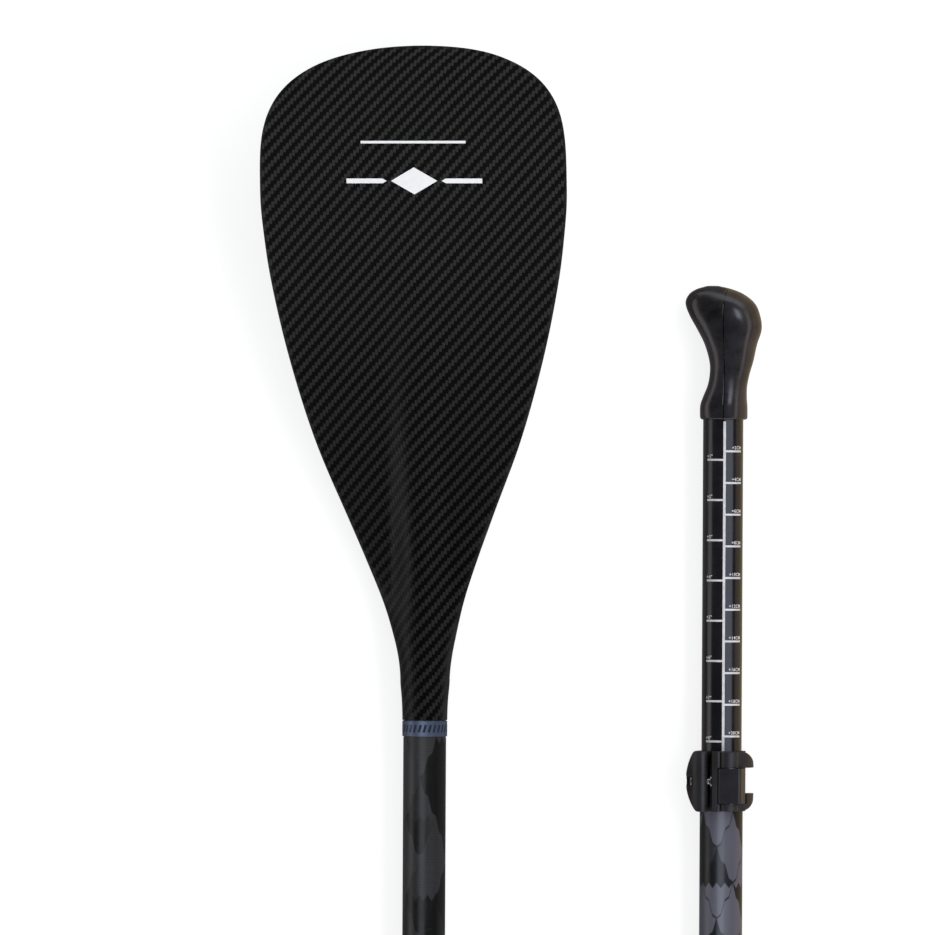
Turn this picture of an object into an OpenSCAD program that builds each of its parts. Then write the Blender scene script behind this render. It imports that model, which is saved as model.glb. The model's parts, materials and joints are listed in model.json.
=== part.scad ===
// A take-apart stand-up paddle: a blade section and an adjustable upper section,
// lying side by side on the floor. Millimetres, +Z up, +Y towards the blade's tip.
// In each section's own frame, Y runs along its shaft and y = 0 is the band's lower edge.

/* [Blade] */
// From the band to the blade's tip
blade_len = 437; // [420:0.2:460]
// Widest part of the blade
blade_w = 199; // [185:1:205]
// From the tip to the widest part
crown_len = 90.9; // [85:0.1:105]
// Lean of the blade, away from the side that pulls the water
blade_tilt = 10; // [6:0.5:13]
// Where the lean begins, and where it is complete
bend_y = [60, 145];
// Thickness of each carbon skin
skin_t = 0.9; // [0.7:0.1:1.1]
// Half the thickness of the rim
edge_r = 1.3; // [1.1:0.1:1.8]

/* [Shafts] */
// Outside of the lower and middle shafts
shaft_d = 27.2; // [27:0.1:27.6]
// Wall of the lower and middle shafts
shaft_wall = 0.8; // [0.7:0.05:0.9]
// Lower shaft, from the band to its shoulder
lower_len = 391; // [300:1:480]
// Middle shaft's mouth, as far below the band's line
mid_mouth = 773.2; // [700:0.2:850]
// Outside of the extension tube
ext_d = 25.4; // [25.2:0.05:25.4]
// Length of the extension tube
ext_len = 558; // [500:1:600]
// Length of it that shows between clamp and handle
ext_shown = 209.3; // [150:0.1:260]

/* [Ferrule joint] */
// Length of ferrule that stands out of the lower shaft
ferrule_out = 60; // [50:1:80]
// Width of the keyed ring on it
ring_w = 6; // [4:0.5:8]
// Diameter of the snap button
button_d = 8; // [7:0.5:9]
// Travel of the snap button
button_travel = 3; // [2.8:0.1:3.2]

/* [Clamp] */
// Height of the clamp along the shaft
clamp_h = 38; // [36:0.5:42]
// Radius of the clamp's collar
collar_r = 15.2; // [15:0.1:15.4]
// Height of the cross screw and barrel pin over the shaft's axis
screw_z = 20.5; // [20.3:0.1:21.5]
// Barrel pin's place across the shaft
pin_x = 9.4; // [9.2:0.1:9.8]
// Radius of the barrel pin
pin_r = 3.5; // [3:0.1:3.6]
// How far the cam's centre stands off the pin
cam_e = 0.6; // [0.3:0.1:0.7]

/* [Layout] */
// Between the two shafts as they lie
section_gap = 192.5; // [180:0.5:260]
// Height of both shafts over the floor
lie_h = 16; // [16:0.1:17]

/* [Hidden] */
$fn = 64;

// Fits between pieces, and room for glue under the skins
fit = 0.05;
glue = 0.1;
shaft_r = shaft_d / 2;
bore_r = shaft_r - shaft_wall;
// The middle shaft's bore guides the extension; at its mouth it is honed wider, for the ferrule
guide_r = bore_r - 0.05;
mouth_r = bore_r + 0.2;
ferrule_r = mouth_r - fit;
ferrule_in_r = bore_r - 1.6;
ext_r = ext_d / 2;
ext_in_r = ext_r - 1.1;

// Places along the shafts
band_len = 10.2;
neck_y = band_len + 0.4;
spigot_r = shaft_r - 0.2;
spigot_end = 58;
core_y = 62;
bung_y = 30;
shoulder_y = -lower_len;
ferrule_tip = shoulder_y - ferrule_out;
button_set = 27;
button_y = shoulder_y - ring_w - button_set - 0.5;
mouth_y = -mid_mouth;
mouth_len = 34;
mouth_bore = 84;
mouth_relief = 3;
plug_len = 50;
clamp_top = -7.1;
clamp_mid = clamp_top - clamp_h / 2;
grip_y = clamp_top + ext_shown;
socket = 8;
ext_top = grip_y + socket - 0.2;
ext_end = ext_top - ext_len;

// Sideways, the handle reaches furthest right; the origin is the middle of the whole, on the floor
grip_right = 24.1;
mid_x = (section_gap + grip_right - blade_w / 2) / 2;
mid_y = (blade_len - mid_mouth) / 2;

module blade_side() translate([-mid_x, -mid_y, lie_h]) children();
module upper_side() translate([section_gap - mid_x, -mid_y, lie_h]) children();

// A round bar along Y, and a tube
module bar(y0, y1, r) translate([0, y0, 0]) rotate([-90, 0, 0]) cylinder(h = y1 - y0, r = r);
module tube(y0, y1, r, bore) difference() {
    bar(y0, y1, r);
    bar(y0 - 1, y1 + 1, bore);
}
// A flat shape in x and z, drawn out along Y
module along(y0, y1) translate([0, y1, 0]) rotate([90, 0, 0]) linear_extrude(y1 - y0) children();
// A round bar along X, at a height
module cross_bar(x0, x1, r) translate([x0, clamp_mid, screw_z]) rotate([0, 90, 0]) cylinder(h = x1 - x0, r = r);

// A smooth curve through [x, y] stations, level at both ends
function slope(p, i) =
    i == 0 || i == len(p) - 1 ? 0 : (p[i + 1][1] - p[i - 1][1]) / (p[i + 1][0] - p[i - 1][0]);
function seek(p, x, i = 0) = i >= len(p) - 2 || x < p[i + 1][0] ? i : seek(p, x, i + 1);
function curve(p, x) =
    let (i = seek(p, x), h = p[i + 1][0] - p[i][0], t = (x - p[i][0]) / h)
    p[i][1] * (2 * t ^ 3 - 3 * t ^ 2 + 1) + h * slope(p, i) * (t ^ 3 - 2 * t ^ 2 + t)
    + p[i + 1][1] * (3 * t ^ 2 - 2 * t ^ 3) + h * slope(p, i + 1) * (t ^ 3 - t ^ 2);
// A smooth path through stations of any size, u being the station's number
function path(p, u) =
    let (n = len(p) - 1, i = min(floor(u), n - 1), t = u - i,
         a = p[max(i - 1, 0)], b = p[i], c = p[i + 1], d = p[min(i + 2, n)])
    0.5 * (2 * b + (c - a) * t + (2 * a - 5 * b + 4 * c - d) * t ^ 2 + (3 * b - a - 3 * c + d) * t ^ 3);
function ease(a, b, x) = let (t = min(max((x - a) / (b - a), 0), 1)) t * t * (3 - 2 * t);

// Blade. Half its width at y: the neck, then the flank up to the widest line, then the crown.
widest_y = blade_len - crown_len;
neck_top = 36;
neck_half = 15.7;
neck_line = [[neck_y, 14.3], [23.5, 14.7], [neck_top, neck_half]];
// Shares of the way up, and of the way out from the neck to half the blade's width
flank_line = [[0, 0], [0.04, 0.013], [0.08, 0.043], [0.16, 0.125], [0.25, 0.25], [0.33, 0.37],
              [0.49, 0.61], [0.66, 0.8], [0.82, 0.93], [0.94, 0.9885], [1, 1]];
function half_w(y) =
    y <= neck_top ? curve(neck_line, y)
    : y <= widest_y
        ? neck_half + (blade_w / 2 - neck_half) * curve(flank_line, (y - neck_top) / (widest_y - neck_top))
    : blade_w / 2 * (1 - (1 - max(blade_len - y, 0.05) / crown_len) ^ 3.6) ^ (1 / 2.2);
// Its midline strays a little to the side: the blade is set by hand, and its tip edge is cut askew
mid_line = [[46, 0], [110, -1.9], [163, -2.3], [265, -1], [341, 0.3], [379, 1.3], [404, 3.1], [417, 4.6],
            [428, 6.5], [blade_len, 9.5]];
function mid(y) = y <= 46 ? 0 : curve(mid_line, y);
// Height of its middle surface over the shaft's axis
bend_r = (bend_y[1] - bend_y[0]) / sin(blade_tilt);
function lift(y) =
    y <= bend_y[0] ? 0
    : y <= bend_y[1] ? bend_r - sqrt(bend_r ^ 2 - (y - bend_y[0]) ^ 2)
    : bend_r * (1 - cos(blade_tilt)) + (y - bend_y[1]) * tan(blade_tilt);
// Depth of the round neck, and height of the spine that fades up each side of the blade
neck_depth = [[neck_y, 14.3], [24, 15.3], [42, 16], [60, 15.9], [110, 13], [160, 9]];
back_spine = [[60, 12], [110, 9.5], [170, 6], [240, 2.6], [330, 0.3], [blade_len, 0]];
face_spine = [[60, 11], [110, 6.5], [160, 2.6], [220, 0.4], [blade_len, 0]];
body_depth = [[60, 3.6], [200, 3.9], [330, 3.2], [blade_len, 1.9]];
function bell(q) = q >= 1 ? 0 : (1 - q * q) ^ 2;
function rim(q) = q >= edge_r ? edge_r : sqrt(max(edge_r ^ 2 - (edge_r - q) ^ 2, 0));
// Half depth of the blade at y, at a share v of its half width, for one side's spine
function depth(y, v, spine) =
    let (w = half_w(y), k = ease(46, 120, y),
         neck = curve(neck_depth, min(y, 160)) * sqrt(max(1 - v * v, 0)),
         yy = max(y, 60),
         blade = rim(w * (1 - abs(v))) + (curve(body_depth, yy) - edge_r) * (1 - v * v)
               + curve(spine, yy) * bell(abs(v) * w / min(w, 21)))
    max((1 - k) * neck + k * blade, 0.3);

neck_rows = [for (k = [0:9]) neck_y + k * (spigot_end + 2 - neck_y) / 9];
flank_rows = [for (k = [0:24]) core_y + k * (widest_y - core_y) / 24];
crown_rows = [for (k = [9:-1:0]) blade_len - crown_len * (k / 10) ^ 2];
rows = concat(neck_rows, flank_rows, crown_rows);
cols = [for (j = [-12:12]) sin(90 * j / 12)];
rim_cols = 2;
n_rows = len(rows);
n_cols = len(cols);
function in_rim(i, j) = i > n_rows - 3 || j < rim_cols || j >= n_cols - rim_cols;

// Height of a skin's inner face: on the core in the blade, and on the other skin all along the rim
seam = 0.02;
function skin_inner(i, j, spine) =
    in_rim(i, j) ? seam : max(depth(rows[i], cols[j], spine) - skin_t, seam);

// A closed slab between an upper and a lower grid of points
module slab(top, low) {
    m = len(top);
    n = len(top[0]);
    s = m * n;
    function at(i, j) = i * n + j;
    function quad(a, b, c, d) = [[a, b, c], [a, c, d]];
    faces = concat(
        [for (i = [0:m - 2], j = [0:n - 2], f = quad(at(i, j), at(i + 1, j), at(i + 1, j + 1), at(i, j + 1))) f],
        [for (i = [0:m - 2], j = [0:n - 2],
              f = quad(s + at(i, j), s + at(i, j + 1), s + at(i + 1, j + 1), s + at(i + 1, j))) f],
        [for (i = [0:m - 2], f = quad(at(i, 0), s + at(i, 0), s + at(i + 1, 0), at(i + 1, 0))) f],
        [for (i = [0:m - 2], f = quad(at(i, n - 1), at(i + 1, n - 1), s + at(i + 1, n - 1), s + at(i, n - 1))) f],
        [for (j = [0:n - 2], f = quad(at(0, j), at(0, j + 1), s + at(0, j + 1), s + at(0, j))) f],
        [for (j = [0:n - 2], f = quad(at(m - 1, j), s + at(m - 1, j), s + at(m - 1, j + 1), at(m - 1, j + 1))) f]
    );
    polyhedron(points = concat([for (r = top, p = r) p], [for (r = low, p = r) p]), faces = faces);
}
function spot(i, j, z) = [mid(rows[i]) + cols[j] * half_w(rows[i]), rows[i], lift(rows[i]) + z];
// A point of a skin's inner face, on the side that s gives. In the neck it lies round the shaft's spigot.
function inner_spot(i, j, s, spine) =
    let (r = spigot_r + glue)
    rows[i] < core_y ? [r * cols[j], rows[i], s * max(r * sqrt(max(1 - cols[j] ^ 2, 0)), seam)]
    : spot(i, j, s * skin_inner(i, j, spine));
function outer_face(s, spine) =
    [for (i = [0:n_rows - 1]) [for (j = [0:n_cols - 1]) spot(i, j, s * depth(rows[i], cols[j], spine))]];
function inner_face(s, spine) =
    [for (i = [0:n_rows - 1]) [for (j = [0:n_cols - 1]) inner_spot(i, j, s, spine)]];

module blade_back_skin() color([0.09, 0.09, 0.1]) blade_side()
    slab(outer_face(1, back_spine), inner_face(1, back_spine));
module blade_face_skin() color([0.08, 0.08, 0.09]) blade_side()
    slab(inner_face(-1, face_spine), outer_face(-1, face_spine));
core_i = [len(neck_rows):n_rows - 4];
core_j = [rim_cols + 1:n_cols - rim_cols - 2];
module blade_core() color([0.86, 0.82, 0.7]) blade_side() slab(
    [for (i = core_i) [for (j = core_j) spot(i, j, skin_inner(i, j, back_spine) - 0.03)]],
    [for (i = core_i) [for (j = core_j) spot(i, j, 0.03 - skin_inner(i, j, face_spine))]]
);

// Neck and lower shaft
module neck_band() color([0.3, 0.34, 0.43]) blade_side() tube(0.2, band_len, 14.25, spigot_r + fit);
module lower_shaft() color([0.07, 0.07, 0.08]) blade_side() difference() {
    union() {
        bar(shoulder_y, 0, shaft_r);
        bar(-1, spigot_end, spigot_r);
    }
    bar(shoulder_y - 1, spigot_end + 1, bore_r);
    bar(shoulder_y - 1, shoulder_y + ferrule_out + 0.5, mouth_r);
}
module shaft_bung() color([0.25, 0.25, 0.26]) blade_side() bar(bung_y, spigot_end - 2, bore_r - fit);

// Ferrule joint
module button_hole(y, r) translate([0, y, 0]) cylinder(h = 30, r = r);
module ferrule() color([0.12, 0.12, 0.13]) blade_side() difference() {
    bar(ferrule_tip, shoulder_y + ferrule_out, ferrule_r);
    bar(ferrule_tip - 1, shoulder_y + ferrule_out + 1, ferrule_in_r);
    button_hole(button_y, button_d / 2 + 0.1);
}
button_top = bore_r + 2.4;
flange_z = ferrule_in_r - 1.6;
module snap_button() color([0.75, 0.76, 0.78]) blade_side() translate([0, button_y, 0]) {
    intersection() {
        translate([0, 0, flange_z - 1]) cylinder(h = button_top - flange_z + 1, r = button_d / 2);
        translate([0, 0, button_top - 7]) sphere(r = 7);
    }
    translate([0, 0, flange_z - 1.5]) cylinder(h = 1.5, r = button_d / 2 + 1);
}
// Bent strip: a leg under the button, a round bend, and a leg on the ferrule's floor
spring_t = 0.6;
spring_bend = 6.4;
leg_low = -(ferrule_in_r - 0.95);
leg_high = flange_z - 1.5 - spring_t / 2 - 0.05;
bend_at = [26, leg_low + spring_bend];
spring_line = concat(
    [[-5, leg_high]],
    [for (a = [80:-20:-90]) bend_at + spring_bend * [cos(a), sin(a)]],
    [[-8, leg_low]]
);
function turn(v) = let (n = norm(v)) [-v[1], v[0]] / n;
function normal_at(p, i) = turn(p[min(i + 1, len(p) - 1)] - p[max(i - 1, 0)]);
module strip(p, t) polygon(concat(
    [for (i = [0:len(p) - 1]) p[i] + normal_at(p, i) * t / 2],
    [for (i = [len(p) - 1:-1:0]) p[i] - normal_at(p, i) * t / 2]
));
module button_spring() color([0.7, 0.7, 0.7]) blade_side() translate([-3.5, button_y, 0])
    rotate([90, 0, 90]) linear_extrude(7) strip(spring_line, spring_t);
module joint_ring() color([0.16, 0.16, 0.17]) blade_side() difference() {
    tube(ferrule_tip, ferrule_tip + ring_w, lie_h, ferrule_r + 0.1);
    translate([-button_d / 2 - 0.6, ferrule_tip - 1, 8]) cube([button_d + 1.2, ring_w + 2, 12]);
}

// Middle shaft
slit_x = [-4.4, -1.4];
module mid_shaft() color([0.2, 0.2, 0.25]) upper_side() difference() {
    tube(mouth_y, clamp_top - 3, shaft_r, guide_r);
    bar(mouth_y - 1, mouth_y + mouth_bore, mouth_r);
    bar(mouth_y + mouth_bore - 0.1, mouth_y + mouth_bore + mouth_relief, mouth_r + 0.2);
    button_hole(mouth_y + button_set, button_d / 2 + 0.3);
    translate([slit_x[0] + 0.5, clamp_top - clamp_h + 2, 5]) cube([2, clamp_h, 12]);
}
module mouth_collar() color([0.1, 0.1, 0.11]) upper_side() difference() {
    along_turned([[shaft_r + fit, 0], [lie_h - 1, 0], [lie_h, 1], [lie_h, mouth_len - 8],
                  [shaft_r + 0.7, mouth_len], [shaft_r + fit, mouth_len]]);
    button_hole(mouth_y + button_set, button_d / 2 + 0.3);
}
// A profile of [radius, distance from the mouth] turned round the shaft
module along_turned(profile) translate([0, mouth_y, 0]) rotate([-90, 0, 0]) rotate_extrude() polygon(profile);
plug_y = mouth_y + mouth_bore + mouth_relief + 1;
module float_plug() color([0.9, 0.88, 0.8]) upper_side() bar(plug_y, plug_y + plug_len, guide_r - fit);

// Clamp. Shapes in x and z, seen along the shaft.
block_x = [3, 18];
block_y = [-13.9, 8.3];
ear_top = screw_z + 5.6;
block_top = ear_top + 1.2;
pin_room = 6.75;
lobe_r = 13;
lobe_x = -19.5;
lobe_top = ear_top + 2.2;
head_x = -15.3;
head_len = 2.7;
module rounded_ear(x0, x1, z0, z1, r) union() {
    translate([x0, z0]) square([x1 - x0, z1 - z0 - r]);
    translate([x0 + r, z0]) square([x1 - x0 - 2 * r, z1 - z0]);
    for (x = [x0 + r, x1 - r]) translate([x, z1 - r]) circle(r = r);
}
module rounded(r) offset(r = r) offset(delta = -r) children();
module lobe_shape() rounded(3.5) intersection() {
    union() {
        translate([lobe_x + lobe_r, lobe_top - lobe_r]) circle(r = lobe_r);
        translate([lobe_x + lobe_r, -2]) square([6, lobe_top + 2]);
    }
    translate([lobe_x - 1, -10]) square([slit_x[0] - lobe_x + 1, 60]);
}
module collar_shape() union() {
    circle(r = collar_r);
    translate([-7, -lie_h]) square([14, 8]);
    lobe_shape();
    difference() {
        rounded_ear(slit_x[1], pin_x - 4.9, 4, ear_top, 1.8);
        translate([pin_x, screw_z]) circle(r = pin_room);
        translate([pin_x - 6.7, 0]) square([4, 17]);
    }
}
// The clamp's outline, square to its leaning end walls, with a bowed side and round corners
clamp_lean = 12.7;
module outline(x0, half, r, bow) translate([0, clamp_mid, 0]) rotate([0, clamp_lean, 0])
    translate([0, 0, -40]) linear_extrude(80) rounded(r) intersection() {
        translate([x0, -half]) square([60, 2 * half]);
        translate([x0 + bow, 0.8]) circle(r = bow, $fn = 200);
    }
module clamp_collar() color([0.1, 0.1, 0.11]) upper_side() difference() {
    intersection() {
        along(clamp_top - clamp_h, clamp_top) collar_shape();
        outline(-22.7, clamp_h / 2, 3.2, 35);
    }
    bar(clamp_top - clamp_h - 1, clamp_top - 3, shaft_r + fit);
    bar(clamp_top - 4, clamp_top + 1, ext_r + 0.1);
    translate([slit_x[0], clamp_top - clamp_h - 1, 2]) cube([slit_x[1] - slit_x[0], clamp_h + 2, 40]);
    translate([block_x[0] - 0.2, clamp_mid + block_y[0] - 0.2, collar_r])
        cube([20, block_y[1] - block_y[0] + 0.4, 20]);
    cross_bar(lobe_x - 1, head_x + head_len, 6.2);
    cross_bar(lobe_x, pin_x, 2.2);
}
module block_shape() difference() {
    rounded(2) translate([block_x[0], 11]) square([block_x[1] - block_x[0], block_top - 11]);
    circle(r = collar_r + 0.2);
    translate([pin_x, screw_z]) circle(r = pin_r + fit);
}
module pivot_block() color([0.2, 0.2, 0.21]) upper_side() difference() {
    intersection() {
        along(clamp_mid + block_y[0], clamp_mid + block_y[1]) block_shape();
        translate([0, clamp_mid]) linear_extrude(40) rounded(2) translate([block_x[0], block_y[0]])
            square([30, block_y[1] - block_y[0]]);
    }
    cross_bar(block_x[0] - 1, block_x[1] - 1, 2.3);
}
module barrel_pin() color([0.6, 0.61, 0.63]) upper_side() difference() {
    translate([pin_x, 0, screw_z]) bar(clamp_mid - clamp_h / 2 + 1, clamp_mid + clamp_h / 2 - 1, pin_r);
    cross_bar(0, 16, 2.1);
}
module clamp_screw() color([0.8, 0.81, 0.82]) upper_side() difference() {
    union() {
        cross_bar(head_x, head_x + head_len - 0.05, 3.3);
        cross_bar(head_x + 1, pin_x + 2.5, 2);
    }
    translate([head_x - 1, clamp_mid, screw_z]) rotate([0, 90, 0]) cylinder(h = 2.6, r = 1.45, $fn = 6);
}
module screw_washer() color([0.8, 0.81, 0.82]) upper_side() difference() {
    cross_bar(slit_x[1] - 0.9, slit_x[1] - 0.1, 3.9);
    cross_bar(slit_x[1] - 2, slit_x[1] + 1, 2.1);
}
// Lever: two arms from the barrel pin round the collar's side, joined behind it
arm_in = collar_r + 0.4;
arm_out = 20.3;
web_out = 18;
web_angle = [-62, -47];
function ray(a) = 40 * [cos(a), sin(a)];
module sector(r_in, r_out, a0, a1) intersection() {
    difference() {
        circle(r = r_out);
        circle(r = r_in);
    }
    polygon([[0, 0], ray(a0), ray((a0 + a1) / 2), ray(a1)]);
}
module arm_shape() difference() {
    union() {
        translate([pin_x - cam_e, screw_z]) circle(r = 6);
        sector(arm_in, arm_out, -32, 62);
        sector(arm_in, web_out, web_angle[0], -20);
    }
    translate([pin_x, screw_z]) circle(r = pin_r + fit);
}
// Beside the shaft the lower arm is wider, up to the hook's inner edge
hook_gap = 7.7;
arm_end = clamp_h / 2 - 0.4;
module cam_lever() color([0.13, 0.13, 0.13]) upper_side() intersection() {
    translate([0, clamp_mid]) union() {
        along(block_y[1] + 0.3, arm_end) arm_shape();
        along(-arm_end, block_y[0] - 0.3) arm_shape();
        along(block_y[0] - 1, -hook_gap) sector(arm_in, arm_out, -32, 26);
        along(block_y[0] - 1, block_y[1] + 1) sector(arm_in, web_out, web_angle[0], web_angle[1]);
    }
    rotate([0, 2 * clamp_lean, 0]) mirror([1, 0, 0]) outline(-arm_out - 0.1, arm_end, 8, 300);
}

// Extension and handle
bush_r = 9;
module guide_bush() color([0.85, 0.85, 0.82]) upper_side() tube(ext_end - 13.7, ext_end - 2.3, guide_r - 0.04, bush_r + fit);
module extension_tube() color([0.08, 0.08, 0.09]) upper_side() tube(ext_end, ext_top, ext_r, ext_in_r);
module extension_plug() color([0.15, 0.15, 0.16]) upper_side() {
    bar(ext_end, ext_end + 30, ext_in_r - fit);
    bar(ext_end - 2, ext_end - 0.05, ext_r);
    bar(ext_end - 15, ext_end + 1, bush_r);
    bar(ext_end - 16, ext_end - 14, 11.5);
}
stem_r = 7;
module handle_spigot() color([0.18, 0.18, 0.19]) upper_side() {
    bar(ext_top - 45, ext_top + 0.1, ext_in_r - fit);
    bar(ext_top - 1, grip_y + 45, stem_r);
}
// Stations up the grip: height over its lower end, left and right edge, half depth
grip_line = [
    [0, -14.5, 15.2, 14.9], [8.6, -14.5, 15.1, 14.7], [14.6, -12.6, 14.7, 13.7], [21.6, -9.8, 15, 12.4],
    [29.2, -8.5, 16.6, 11.8], [37, -8.8, 18.9, 12.2], [47.6, -11.9, 21.2, 14.2], [57.2, -16.8, grip_right, 15.7],
    [66, -21.8, 23.1, 15.9], [73.5, -24.4, 19.8, 14.2], [79, -22.4, 13.2, 11], [82.4, -17.6, 5.4, 7],
    [84.5, -10.6, -3.8, 2.2]
];
grip_steps = 3;
grip_sides = 36;
function squarish(c, n) = sign(c) * abs(c) ^ (2 / n);
function grip_ring(u) =
    let (s = path(grip_line, u), x = (s[1] + s[2]) / 2, w = (s[2] - s[1]) / 2)
    [for (k = [0:grip_sides - 1]) let (a = 360 * k / grip_sides)
        [x + w * squarish(cos(a), 2.25), grip_y + s[0], s[3] * squarish(sin(a), 2.25)]];
function centre(r) = [for (k = [0:2]) (max([for (p = r) p[k]]) + min([for (p = r) p[k]])) / 2];
// A closed solid through rings of points, from the lowest Y to the highest
module loft(rings) {
    m = len(rings);
    n = len(rings[0]);
    function at(i, k) = i * n + k % n;
    polyhedron(
        points = concat([for (r = rings, p = r) p], [centre(rings[0]), centre(rings[m - 1])]),
        faces = concat(
            [for (i = [0:m - 2], k = [0:n - 1], f = [[at(i, k), at(i + 1, k), at(i + 1, k + 1)],
                                                     [at(i, k), at(i + 1, k + 1), at(i, k + 1)]]) f],
            [for (k = [0:n - 1]) [m * n, at(0, k), at(0, k + 1)]],
            [for (k = [0:n - 1]) [m * n + 1, at(m - 1, k + 1), at(m - 1, k)]]
        )
    );
}
module handle_grip() color([0.11, 0.11, 0.12]) upper_side() difference() {
    loft([for (k = [0:(len(grip_line) - 1) * grip_steps]) grip_ring(k / grip_steps)]);
    bar(grip_y - 1, grip_y + socket, ext_r + fit);
    bar(grip_y, grip_y + 45.2, stem_r + fit);
}

blade_back_skin();
blade_face_skin();
blade_core();
neck_band();
lower_shaft();
shaft_bung();
ferrule();
snap_button();
button_spring();
joint_ring();
mid_shaft();
mouth_collar();
float_plug();
clamp_collar();
pivot_block();
barrel_pin();
clamp_screw();
screw_washer();
cam_lever();
guide_bush();
extension_tube();
extension_plug();
handle_spigot();
handle_grip();
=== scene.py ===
# %% [markdown]
# # A take-apart carbon paddle
# The object is an adjustable stand-up paddle, apart in its two sections. The blade section lies on the left
# and the upper section, with its clamp, scale and palm grip, on the right. The solids come from CAD. This
# lesson puts the looks round them: smooth skins, woven carbon, wound tubes, printed marks and moulded plastic.

# %% Load the frame
import json
import math

import bmesh
import bpy
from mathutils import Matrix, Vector

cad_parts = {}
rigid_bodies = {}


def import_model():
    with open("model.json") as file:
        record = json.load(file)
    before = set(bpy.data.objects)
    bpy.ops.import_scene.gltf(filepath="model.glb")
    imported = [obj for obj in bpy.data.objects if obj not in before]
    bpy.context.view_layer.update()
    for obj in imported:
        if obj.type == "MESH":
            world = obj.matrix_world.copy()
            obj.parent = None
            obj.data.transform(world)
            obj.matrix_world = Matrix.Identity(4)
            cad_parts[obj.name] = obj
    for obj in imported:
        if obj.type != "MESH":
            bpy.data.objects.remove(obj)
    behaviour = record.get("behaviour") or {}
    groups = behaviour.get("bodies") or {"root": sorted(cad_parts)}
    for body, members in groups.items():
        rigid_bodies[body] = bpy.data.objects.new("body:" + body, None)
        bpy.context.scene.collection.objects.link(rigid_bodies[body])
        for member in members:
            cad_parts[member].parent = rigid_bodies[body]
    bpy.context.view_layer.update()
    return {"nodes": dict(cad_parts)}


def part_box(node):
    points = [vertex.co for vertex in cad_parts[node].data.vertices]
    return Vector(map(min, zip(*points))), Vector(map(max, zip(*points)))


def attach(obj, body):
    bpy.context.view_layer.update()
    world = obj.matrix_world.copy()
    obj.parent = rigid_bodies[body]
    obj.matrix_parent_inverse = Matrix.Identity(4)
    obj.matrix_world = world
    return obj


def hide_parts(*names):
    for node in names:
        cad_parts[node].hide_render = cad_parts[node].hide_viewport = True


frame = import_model()

# %% [markdown]
# Both shafts run along Y. Everything round is turned about one of their two axes, so these two axes are read
# from the CAD pieces. In each section's own measure, y = 0 is the lower edge of the blue band.

# %% Axes of the two sections
MM = 0.001


def middle(node):
    low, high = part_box(node)
    return (low + high) / 2


blade_axis = Vector((middle("lower_shaft").x, 0, middle("lower_shaft").z))
upper_axis = Vector((middle("extension_tube").x, 0, middle("extension_tube").z))
band_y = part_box("neck_band")[0].y - 0.2 * MM
print("axes at x =", round(blade_axis.x, 4), "and", round(upper_axis.x, 4), "band at y =", round(band_y, 4))

# %% [markdown]
# ## Camera
# The photograph looks straight down on the flat blade, from a little to the right, so that the raised tip
# shifts to the left. A long lens far away keeps the shafts parallel. The camera could be aimed by a constraint,
# but three angles are easier to read: the lean to the right, the roll, and the turn that puts +Y upwards.

# %% Camera
def placed(name, data):
    """An object in the scene that holds this mesh, lamp, camera or text."""
    obj = bpy.data.objects.new(name, data)
    bpy.context.collection.objects.link(obj)
    return obj


LEAN, ROLL = math.radians(12.7), math.radians(0.3)
DISTANCE, VIEW_WIDTH = 8.0, 0.5937
aim = Vector((-0.0316, 0.3392, 0.016))
camera_data = bpy.data.cameras.new("photo_camera")
camera_data.sensor_width = 36
camera_data.lens = 36 * DISTANCE / VIEW_WIDTH
camera_data.clip_end = 200
camera = placed("photo_camera", camera_data)
camera.location = aim + DISTANCE * Vector((math.sin(LEAN), 0, math.cos(LEAN)))
camera.rotation_euler = (0, LEAN, 0)
camera.rotation_euler.rotate_axis("Z", ROLL)
bpy.context.scene.camera = camera
bpy.context.scene.view_settings.view_transform = "Standard"
print("lens, mm:", round(camera_data.lens))

# %% [markdown]
# ## Floor and light
# The background is pure white. A floor that is only lit never gets there without burning out the object, so
# the floor adds a little light of its own for camera and mirror rays, and keeps the object's shadow. The world
# is white for the same rays and a soft grey for the rest.

# %% Node builder
class Nodes:
    """A node tree under construction. Its calls return sockets, so sums read from left to right."""

    def __init__(self, owner):
        owner.use_nodes = True
        self.tree, self.count = owner.node_tree, 0
        self.tree.nodes.clear()

    def put(self, kind, sockets=(), **values):
        """A new node. What goes into it is given by input, as a socket or a plain value."""
        made = self.tree.nodes.new(kind)
        made.location = (-1400 + 90 * self.count, -160 * (self.count % 7))
        self.count += 1
        for name, value in values.items():
            setattr(made, name, value)
        for key, value in dict(sockets).items():
            if isinstance(value, bpy.types.NodeSocket):
                self.tree.links.new(value, made.inputs[key])
            else:
                made.inputs[key].default_value = value
        return made

    def math(self, operation, a, b=0.0, c=0.0):
        return self.put("ShaderNodeMath", {0: a, 1: b, 2: c}, operation=operation).outputs[0]

    def times(self, a, b):
        return self.math("MULTIPLY", a, b)

    def plus(self, a, b):
        return self.math("ADD", a, b)

    def seen_directly(self):
        """1 for rays from the camera or from a mirror or glass, else 0."""
        rays = self.put("ShaderNodeLightPath").outputs
        first = self.math("MAXIMUM", rays["Is Camera Ray"], rays["Is Glossy Ray"])
        return self.math("MAXIMUM", first, rays["Is Transmission Ray"])


# %% World
world = bpy.data.worlds.new("studio")
bpy.context.scene.world = world
sky = Nodes(world)
room, white = (sky.put("ShaderNodeBackground", {"Color": colour}).outputs[0]
               for colour in ((0.62, 0.63, 0.65, 1), (1, 1, 1, 1)))
pick = sky.put("ShaderNodeMixShader", {0: sky.seen_directly(), 1: room, 2: white})
sky.put("ShaderNodeOutputWorld", {0: pick.outputs[0]})


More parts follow.
